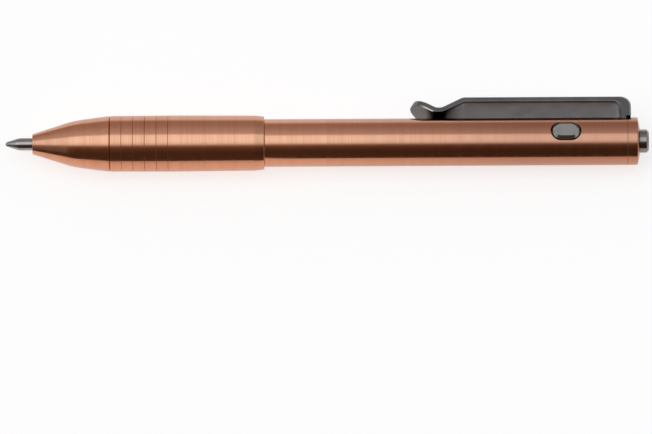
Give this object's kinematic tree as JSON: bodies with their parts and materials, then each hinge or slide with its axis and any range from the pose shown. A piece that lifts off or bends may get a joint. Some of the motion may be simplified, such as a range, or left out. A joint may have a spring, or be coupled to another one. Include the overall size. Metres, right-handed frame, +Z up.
{
  "type": "retractable click pen",
  "caption": "Copper click pen with a push button at its end, side release buttons, a metal pocket clip and a grip section that unscrews.",
  "frame": {"origin": "middle of the pen's box, on the surface that the grip section lies on", "axes": "+X along the pen from its writing tip to its push button, +Y out through the pocket clip, +Z up through one of the two side buttons"},
  "size_m": [0.138, 0.015, 0.012],
  "materials": {
    "turned_copper": "fine turned",
    "dark_titanium": "bead blasted and anodised dark grey",
    "brass": "turned",
    "spring_steel": "drawn",
    "stainless_steel": "turned and polished",
    "tungsten_carbide": "ground",
    "black_acetal": "moulded",
    "refill_plastic": "extruded",
    "ink": "liquid, shown as one solid column",
    "nitrile_rubber": "moulded"
  },
  "bodies": {
    "barrel_body": {"barrel": "turned_copper", "end_cap": "turned_copper", "mechanism_sleeve": "brass", "side_button_spring_upper": "spring_steel", "side_button_spring_lower": "spring_steel", "return_spring": "spring_steel"},
    "plunger": {"push_button": "dark_titanium", "plunger_rod": "brass", "plunger_pin": "spring_steel", "catch_spring": "spring_steel", "refill_cup": "black_acetal"},
    "refill": {"refill_nose": "stainless_steel", "writing_ball": "tungsten_carbide", "refill_tube": "refill_plastic", "refill_plug": "refill_plastic", "ink_column": "ink"},
    "release_upper": {"side_button_upper": "dark_titanium"},
    "release_lower": {"side_button_lower": "dark_titanium"},
    "clip": {"pocket_clip": "dark_titanium"},
    "grip_carrier": {"grip_oring": "nitrile_rubber"},
    "grip": {"grip_section": "turned_copper"}
  },
  "joints": [
    {"name": "plunger_slide", "type": "slide", "parent": "barrel_body", "child": "plunger", "axis": [1, 0, 0], "range_m": [-0.0003, 0.0062], "deforming": ["catch_spring"]},
    {"name": "refill_slide", "type": "slide", "parent": "barrel_body", "child": "refill", "axis": [1, 0, 0], "range_m": [-0.0003, 0.0062], "deforming": ["return_spring"]},
    {"name": "release_upper_press", "type": "slide", "parent": "barrel_body", "child": "release_upper", "axis": [0, 0, -1], "range_m": [0, 0.0009], "stiffness_N_per_m": 1200, "springref_m": -0.0004, "deforming": ["side_button_spring_upper"]},
    {"name": "release_lower_press", "type": "slide", "parent": "barrel_body", "child": "release_lower", "axis": [0, 0, 1], "range_m": [0, 0.0009], "stiffness_N_per_m": 1200, "springref_m": -0.0004, "deforming": ["side_button_spring_lower"]},
    {"name": "clip_flex", "type": "hinge", "parent": "barrel_body", "child": "clip", "pos_m": [0.0635, 0.00321, 0.00602], "axis": [0, 0, -1], "range_deg": [0, 3], "stiffness_Nm_per_rad": 4, "springref_deg": -0.57},
    {"name": "grip_advance", "type": "slide", "parent": "barrel_body", "child": "grip_carrier", "axis": [1, 0, 0], "range_m": [-0.0055, 0]},
    {"name": "grip_unscrew", "type": "hinge", "parent": "grip_carrier", "child": "grip", "pos_m": [-0.0134, -0.00144, 0.00602], "axis": [1, 0, 0], "range_deg": [-1980, 0]}
  ],
  "couplings": [
    {"joint": "refill_slide", "follows": "plunger_slide", "ratio": 1},
    {"joint": "grip_unscrew", "follows": "grip_advance", "rad_per_m": 6283.2}
  ]
}
